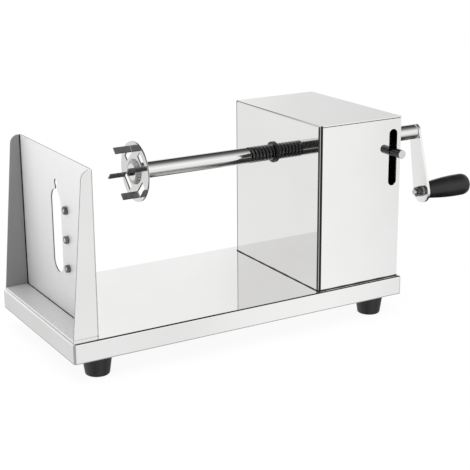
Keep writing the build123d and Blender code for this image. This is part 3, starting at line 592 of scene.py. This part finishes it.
def nut_mesh(size, height):
    """A hexagonal nut with chamfered corners and a countersunk bore, standing on Z = 0."""
    bore = NUT_BORE[size]
    lead = bore + NUT_LEAD
    inside = NUT_FLATS[size] / 2
    corner = inside / math.cos(math.pi / 6)
    chamfer = (corner - inside) * math.tan(math.pi / 6)

    def hexagon(radius, angle, level):
        if radius < inside:
            return radius, level
        return min(radius, inside / math.cos(angle % (math.pi / 3) - math.pi / 6)), level

    profile = [
        (bore, NUT_LEAD), (lead, 0), (inside, 0), (corner, chamfer),
        (corner, height - chamfer), (inside, height), (lead, height), (bore, height - NUT_LEAD),
    ]
    return turned(profile, NUT_SEGMENTS, hexagon, ring=True)


SCREW_RADIUS = 1.95 * MM
SCREW_PITCH = 0.7 * MM
THREAD_DEPTH = 0.12 * SCREW_RADIUS
SECTIONS_A_TURN = 6
TIP_RADIUS, TIP_LENGTH = 0.6 * SCREW_RADIUS, 0.2 * MM
HEAD_RINGS, HEAD_CENTRE = 16, 0.2  # rings of faces, and the size of the middle in rings
SUNK_RIM, DOMED_RIM = 0.15 * MM, 0.3 * MM
TOUCH = 1e-9


def screw_mesh(head_radius, head_height, shank, sunk=False):
    """A cross head screw. Its head stands up from Z = 0 or is sunk below it, and its threaded
    shank runs down."""
    top = 0.0 if sunk else head_height
    under = top - head_height
    dome = 0.0 if sunk else 0.35 * head_height
    rim = top - SUNK_RIM if sunk else top - dome - DOMED_RIM
    face_radius = 0.97 * head_radius
    cross_width, cross_length = 0.30 * head_radius, 1.25 * head_radius
    cross_depth, cross_edge = 0.45 * head_height, 0.10 * head_radius

    def shape_point(r, angle, height):
        if height > top - TOUCH:
            x, y = abs(r * math.cos(angle)), abs(r * math.sin(angle))
            across = min(max((cross_width / 2 - min(x, y)) / cross_edge + 0.5, 0), 1)
            along = min(max((cross_length / 2 - max(x, y)) / cross_edge, 0), 1)
            return r, top - dome * (r / head_radius) ** 2 - cross_depth * across * along
        if r <= SCREW_RADIUS and height < under:
            phase = (height / SCREW_PITCH - angle / (2 * math.pi)) % 1.0
            return r - THREAD_DEPTH * abs(2 * phase - 1), height
        return r, height

    profile = [
        (face_radius * (step + HEAD_CENTRE) / (HEAD_RINGS + HEAD_CENTRE), top)
        for step in range(HEAD_RINGS + 1)
    ]
    profile.append((head_radius, rim))
    if not sunk:
        profile.append((head_radius, under))
    profile.append((SCREW_RADIUS, under))
    sections = max(int((shank + under) / SCREW_PITCH * SECTIONS_A_TURN), 2)
    for step in range(1, sections + 1):
        profile.append((SCREW_RADIUS, under - (shank + under) * step / sections))
    profile.append((TIP_RADIUS, -shank - TIP_LENGTH))
    return turned(profile, bend=shape_point)


# Sunk screws and their nuts hold the blade on the bracket's plate.
SUNK_HEAD, SUNK_HEAD_HEIGHT = 3.8 * MM, 1.8 * MM
SUNK_BELOW, SCREW_SHORTER = 0.05 * MM, 0.2 * MM
blade_right = high("blade")[0]
blade_y = middle("blade_nuts")[1]
blade_rows = [
    low("blade_nuts")[2] + NUT_FLATS["m4"] / 2,
    middle("blade_nuts")[2],
    high("blade_nuts")[2] - NUT_FLATS["m4"] / 2,
]
add_fasteners(
    "blade_clamp_nuts", nut_mesh("m4", NUT_HEIGHT["m4"]), dark_screws,
    [(plate_left, blade_y, z) for z in blade_rows], LEFT, 3, "base", "blade_nuts",
)
blade_screw_length = blade_right - low("blade_screws")[0] - SCREW_SHORTER
add_fasteners(
    "blade_clamp_screws",
    screw_mesh(SUNK_HEAD, SUNK_HEAD_HEIGHT, blade_screw_length, sunk=True), screw_steel,
    [(blade_right - SUNK_BELOW, blade_y, z) for z in blade_rows], RIGHT, 5,
    "base", "blade_screws",
)

# Two screws hold each side of the rear cover, and two hold its top.
COVER_HEAD, COVER_HEAD_HEIGHT, COVER_SHANK = 4.0 * MM, 2.6 * MM, 7.1 * MM
SIDE_ROWS = (0.12, 0.38)  # of the box's height
TOP_GAP = 0.36  # from the middle, of the box's depth
cover_low, cover_high = low("cover_screws"), high("cover_screws")
cover_right = high("rear_cover")[0]
side_columns = (cover_low[1] + COVER_HEAD, cover_high[1] - COVER_HEAD)
side_heights = [box_low[2] + share * (box_high[2] - box_low[2]) for share in SIDE_ROWS]
top_columns = [
    (box_low[1] + box_high[1]) / 2 + way * TOP_GAP * (box_high[1] - box_low[1])
    for way in (-1, 1)
]
cover_places = [(cover_right, y, z) for y in side_columns for z in side_heights]
cover_places += [(cover_right, y, cover_high[2] - COVER_HEAD) for y in top_columns]
add_fasteners(
    "cover_cross_screws", screw_mesh(COVER_HEAD, COVER_HEAD_HEIGHT, COVER_SHANK), screw_steel,
    cover_places, RIGHT, 8, "base", "cover_screws",
)

# A nut on each side of the crank arm holds the grip's bolt.
grip_axis = middle("grip_nut")[1:]
add_fasteners(
    "grip_lock_nut", nut_mesh("m6", NUT_HEIGHT["m6"]), dark_screws,
    [(high("grip_nut")[0], *grip_axis)], LEFT, 2, "shaft", "grip_nut",
)
jam_left, jam_right = low("grip_jam_nut")[0], high("grip_jam_nut")[0]
add_fasteners(
    "grip_thin_nut", nut_mesh("m6", jam_right - jam_left), screw_steel,
    [(jam_left, *grip_axis)], RIGHT, 4, "shaft", "grip_jam_nut",
)

# The weld is a ring of small overlapping beads.
WELD_BEADS = 19
WELD_SEGMENTS = 12 * WELD_BEADS
WELD_ARC_STEPS = 10
WELD_ROOT = 0.2 * MM
BEAD_SWELL, BEAD_SHARPNESS = 0.20, 0.6
BEAD_SINK = 0.14  # how far the weld's height follows its swell
BEAD_DRIFT = 0.12  # how unevenly the beads are spaced
weld_height = high("disc_weld")[0] - low("disc_weld")[0]
weld_width = high("disc_weld")[2] - shaft_axis[2] - shaft_radius


def lumpy(radius, angle, height):
    out = max(radius - shaft_radius, 0.0)
    bead = (angle / (2 * math.pi) * WELD_BEADS + BEAD_DRIFT * math.sin(3 * angle)) % 1.0
    swell = 1 - BEAD_SWELL + BEAD_SWELL * math.sin(math.pi * bead) ** BEAD_SHARPNESS
    return shaft_radius + out * swell, height * (1 - BEAD_SINK + BEAD_SINK * swell)


weld_angles = [math.pi / 2 * step / WELD_ARC_STEPS for step in range(WELD_ARC_STEPS + 1)]
weld_profile = [(shaft_radius - WELD_ROOT, 0.0)] + [
    (shaft_radius + weld_width * math.cos(angle), weld_height * math.sin(angle))
    for angle in weld_angles
]
weld = turned(weld_profile, WELD_SEGMENTS, lumpy, ring=True)
weld.transform(Matrix.Translation((disc_left, *shaft_axis[1:])) @ facing(LEFT))
add_piece("disc_weld_bead", weld, weld_steel, "shaft", ["disc_weld"], smooth=60.0)


def wobble(number, *waves):
    """The size of one section of a bead laid by hand, near 1."""
    return 1.0 + sum(size * math.sin(number * rate) for size, rate in waves)


# A black bead round the box's foot stands in for the shadow in the gap between the box and the
# tray: painted shade.
BEAD_WIDTH, BEAD_HEIGHT = 0.7 * MM, 1.0 * MM
BEAD_ROOT = 0.3 * MM
BEAD_STEP = 6 * MM
BEAD_ARC_STEPS = 5
BEAD_ROUNDNESS = 1.2
CORNER_STEPS = 8


def foot_outline(corners):
    """Points round the box's foot, each with its way out. A corner is its centre, its radius and
    the angle at which it starts."""
    turns = []
    for (x, y), radius, start in corners:
        steps = CORNER_STEPS if radius > 0 else 1
        for step in range(steps + 1):
            angle = math.radians(start + 90.0 * step / steps)
            out = Vector((math.cos(angle), math.sin(angle), 0))
            turns.append((Vector((x, y, box_low[2])) + out * radius, out))
    outline = []
    for (place, out), (after, out_after) in zip(turns, turns[1:] + turns[:1]):
        steps = max(int((after - place).length / BEAD_STEP), 1)
        for share in [step / steps for step in range(steps)]:
            outline.append((place.lerp(after, share), out.lerp(out_after, share).normalized()))
    return outline


def add_foot_bead(name, corners, finish):
    """A soft quarter-round bead on the tray, round a box with rounded corners."""
    shape = bmesh.new()
    loops = []
    for number, (place, out) in enumerate(foot_outline(corners)):
        swell = wobble(number, (0.10, 1.7), (0.06, 0.45))
        points = [place - out * BEAD_ROOT]
        for step in range(BEAD_ARC_STEPS + 1):
            angle = math.pi / 2 * step / BEAD_ARC_STEPS
            bulge = BEAD_WIDTH * swell * math.cos(angle) ** BEAD_ROUNDNESS
            rise = BEAD_HEIGHT * swell * math.sin(angle) ** BEAD_ROUNDNESS
            points.append(place + out * bulge + Vector((0, 0, rise)))
        loops.append([shape.verts.new(point) for point in points])
    skin(shape, loops, ring=True)
    add_piece(name, finished_mesh(shape, name), finish, "base", smooth=50.0)


bend_x = box_low[0] + BOX_BEND
add_foot_bead("housing_sealant", [
    ((bend_x, box_low[1] + BOX_BEND), BOX_BEND, 180.0),
    ((cover_right, box_low[1]), 0.0, 270.0),
    ((cover_right, box_high[1]), 0.0, 0.0),
    ((bend_x, box_high[1] - BOX_BEND), BOX_BEND, 90.0),
], shadow_black)

# A dark line fills the seam under the housing's top, at its front and back, as painted shade in
# the seam's groove.
SEAM_SECTIONS, SEAM_SIDES = 40, 12
SEAM_BELOW_TOP = 1.45 * MM
SEAM_HALF_HEIGHT, SEAM_HALF_DEPTH, SEAM_SUNK = 0.45 * MM, 0.10 * MM, 0.06 * MM
SEAM_FROM_BEND, SEAM_FROM_END = 0.5 * MM, 0.1 * MM
seam_z = box_high[2] - SEAM_BELOW_TOP
seam_left = bend_x + SEAM_FROM_BEND
seam_length = box_high[0] - SEAM_FROM_END - seam_left
seam_angles = [2 * math.pi * step / SEAM_SIDES for step in range(SEAM_SIDES)]
seam = bmesh.new()
for face_y, outward in ((box_low[1], -1), (box_high[1], 1)):
    loops = []
    for number in range(SEAM_SECTIONS + 1):
        x = seam_left + seam_length * number / SEAM_SECTIONS
        swell = wobble(number, (0.08, 2.3))
        loop = []
        for angle in seam_angles:
            out = SEAM_HALF_DEPTH * swell * math.cos(angle) - SEAM_SUNK
            z = seam_z + SEAM_HALF_HEIGHT * swell * math.sin(angle)
            loop.append(seam.verts.new((x, face_y + outward * out, z)))
        loops.append(loop)
    skin(seam, loops)
seam_mesh = finished_mesh(seam, "seam")
add_piece("lid_seam_sealant", seam_mesh, shadow_black, "base", smooth=60.0)

# ---- floor, backdrop and light ---------------------------------------------------------------

WHITE = (1.0, 1.0, 1.0, 1.0)
FLOOR_SIZE = 6.0
FLOOR_WHITE = 0.9
FLOOR_GLOW = 0.90  # the share of the floor's white that no shadow dims
GLOW_STRENGTH = 1.02

floor_shape = bmesh.new()
bmesh.ops.create_grid(floor_shape, x_segments=1, y_segments=1, size=FLOOR_SIZE)
floor_mesh = finished_mesh(floor_shape, "floor")
floor = bpy.data.objects.new("floor", floor_mesh)
scene.collection.objects.link(floor)

# Mirrors look through the floor into the studio's room, and the camera sees white paper.
paper = Finish("white_paper")
paper.set(Roughness=0.9)
paper.shader.inputs["Base Color"].default_value = (*grey(FLOOR_WHITE), 1.0)
glow = paper.add("ShaderNodeEmission")
glow.inputs["Color"].default_value = WHITE
glow.inputs["Strength"].default_value = GLOW_STRENGTH
ray = paper.add("ShaderNodeLightPath")
glow_share = paper.add("ShaderNodeMath", operation="MULTIPLY")
paper.link(ray, "Is Camera Ray", glow_share, 0)
glow_share.inputs[1].default_value = FLOOR_GLOW
lit = paper.blend(glow_share, "Value", paper.shader, glow)
clear = paper.add("ShaderNodeBsdfTransparent")
seen = paper.blend(ray, "Is Glossy Ray", lit, clear)
paper.link(seen, "Shader", paper.output, "Surface")
floor_mesh.materials.append(paper.material)


# The sockets of a node that mixes two colours
MIX_SHARE, MIX_ONE, MIX_OTHER, MIX_RESULT = 0, 6, 7, 2


class Studio(NodeTree):
    """The white room round the cutter, with the dark gaps between its soft lights."""

    def __init__(self):
        world = bpy.data.worlds.new("studio")
        scene.world = world
        world.use_nodes = True
        super().__init__(world.node_tree)

    def angle_ramp(self, across, up, stops):
        """Brightness along an angle in degrees, from -180 to 180, between two directions."""
        angle = self.add("ShaderNodeMath", operation="ARCTAN2")
        self.link(*up, angle, 0)
        self.link(*across, angle, 1)
        part = self.add("ShaderNodeMath", operation="MULTIPLY_ADD")
        self.link(angle, "Value", part, 0)
        part.inputs[1].default_value = 1 / (2 * math.pi)
        part.inputs[2].default_value = 0.5
        tones = [(degrees / 360 + 0.5, grey(value)) for degrees, value in stops]
        return self.ramp(part, "Value", tones).outputs["Color"]

    def rise(self, source, start, end):
        """0 below one value and 1 above another, with a smooth step between them."""
        node = self.add("ShaderNodeMapRange", interpolation_type="SMOOTHSTEP")
        self.link(*source, node, "Value")
        node.inputs["From Min"].default_value = start
        node.inputs["From Max"].default_value = end
        return node.outputs["Result"]

    def product(self, one, other):
        """Two numbers multiplied."""
        node = self.add("ShaderNodeMath", operation="MULTIPLY")
        self.tree.links.new(one, node.inputs[0])
        self.tree.links.new(other, node.inputs[1])
        return node.outputs[0]

    def band(self, source, start, end, soft):
        """1 between two values, with soft edges."""
        rising = self.rise(source, start - soft, start + soft)
        falling = self.rise(self.negative(source), -end - soft, -end + soft)
        return self.product(rising, falling)

    def negative(self, source):
        """A direction's other side."""
        node = self.add("ShaderNodeMath", operation="MULTIPLY")
        self.link(*source, node, 0)
        node.inputs[1].default_value = -1.0
        return node, "Value"

    def mix(self, share, one, other, blend="MIX"):
        """Two colours mixed, or multiplied, by a share."""
        node = self.add("ShaderNodeMix", data_type="RGBA", blend_type=blend)
        for socket, value in ((MIX_SHARE, share), (MIX_ONE, one), (MIX_OTHER, other)):
            if isinstance(value, bpy.types.NodeSocket):
                self.tree.links.new(value, node.inputs[socket])
            else:
                node.inputs[socket].default_value = value
        return node.outputs[MIX_RESULT]


# Parts of directions, from -1 to 1. The shaft mirrors the room where the east part lies in
# SHAFT_EAST, and its image in the box's left face does where it lies in FAR_EAST.
SOFT = 0.02
HORIZON = (0.02, 0.10)
SHAFT_EAST = (0.36, 0.67)
FAR_EAST, FAR_NORTH, FAR_UP = (-0.62, -0.47), (-0.35, -0.15), (-0.36, -0.14)
FAR_DARK, FAR_GREY = (*grey(0.04), 1.0), (*grey(0.40), 1.0)

studio = Studio()
room = studio.add("ShaderNodeTexCoord")
split = studio.add("ShaderNodeSeparateXYZ")
studio.link(room, "Generated", split, "Vector")
east, north, up = (split, "X"), (split, "Y"), (split, "Z")
below = studio.angle_ramp(east, north, [
    (-180, 0.80), (-150, 0.62), (-120, 0.70), (-84, 0.80), (-76, 0.88), (-62, 0.92), (-57, 1.02),
    (-54, 0.99), (-52, 0.92), (-49, 0.82), (-38, 0.78), (-20, 0.50), (20, 0.46), (45, 0.60),
    (60, 0.74), (108, 0.72), (112, 0.76), (118, 0.91), (131, 0.90), (150, 0.86), (180, 0.80),
])
above = studio.angle_ramp(east, north, [
    (-180, 0.82), (-150, 0.66), (-128, 0.56), (-95, 0.62), (-82, 0.78), (-72, 1.0), (-40, 0.96),
    (-10, 0.72), (30, 0.72), (50, 0.75), (57, 0.82), (61, 0.98), (75, 0.97), (100, 1.05),
    (112, 1.0), (119, 0.87), (130, 0.86), (150, 0.80), (180, 0.82),
])
# Dark gaps between the lights run round the shaft, where only the shaft mirrors them.
round_shaft = studio.angle_ramp(north, up, [
    (-180, 1.0), (-154, 1.0), (-149, 0.58), (-134, 0.46), (-127, 0.04), (-45, 0.02), (-36, 1.0),
    (0, 1.0), (28, 1.0), (37, 0.07), (58, 0.06), (78, 0.12), (96, 0.22), (112, 0.40),
    (128, 0.66), (146, 0.96), (160, 1.06), (180, 1.0),
])
narrow_gap = studio.angle_ramp(north, up, [
    (-180, 1.0), (28, 1.0), (30, 0.30), (34, 0.30), (36, 1.0), (180, 1.0),
])
walls = studio.mix(studio.rise(up, *HORIZON), below, above)
gaps = studio.mix(studio.band(east, *SHAFT_EAST, SOFT), narrow_gap, round_shaft)
far_side = studio.product(
    studio.band(east, *FAR_EAST, SOFT), studio.rise(studio.negative(north), *FAR_NORTH)
)
far_shade = studio.mix(studio.band(up, *FAR_UP, SOFT), FAR_DARK, FAR_GREY)
far_gap = studio.mix(far_side, WHITE, far_shade)
lit_room = studio.mix(1.0, walls, gaps, "MULTIPLY")
mirrored = studio.mix(1.0, lit_room, far_gap, "MULTIPLY")
mirror_view = studio.add("ShaderNodeBackground")
studio.tree.links.new(mirrored, mirror_view.inputs["Color"])
white_room = studio.add("ShaderNodeBackground")
white_room.inputs["Color"].default_value = WHITE
light_path = studio.add("ShaderNodeLightPath")
choice = studio.blend(light_path, "Is Glossy Ray", white_room, mirror_view)
studio.link(choice, "Shader", studio.add("ShaderNodeOutputWorld"), "Surface")


def soft_box(name, place, target, size, power):
    """A flat light that no mirror shows."""
    data = bpy.data.lights.new(name, "AREA")
    data.shape = "RECTANGLE"
    data.size, data.size_y = size
    data.energy = power
    lamp = bpy.data.objects.new(name, data)
    aim = (Vector(target) - Vector(place)).to_track_quat("-Z", "Y")
    lamp.matrix_world = Matrix.Translation(place) @ aim.to_matrix().to_4x4()
    lamp.visible_glossy = False
    scene.collection.objects.link(lamp)


soft_box("top_light", place=(-0.3, -0.2, 1.6), target=(0, 0, 0.1), size=(1.6, 1.2), power=6.0)
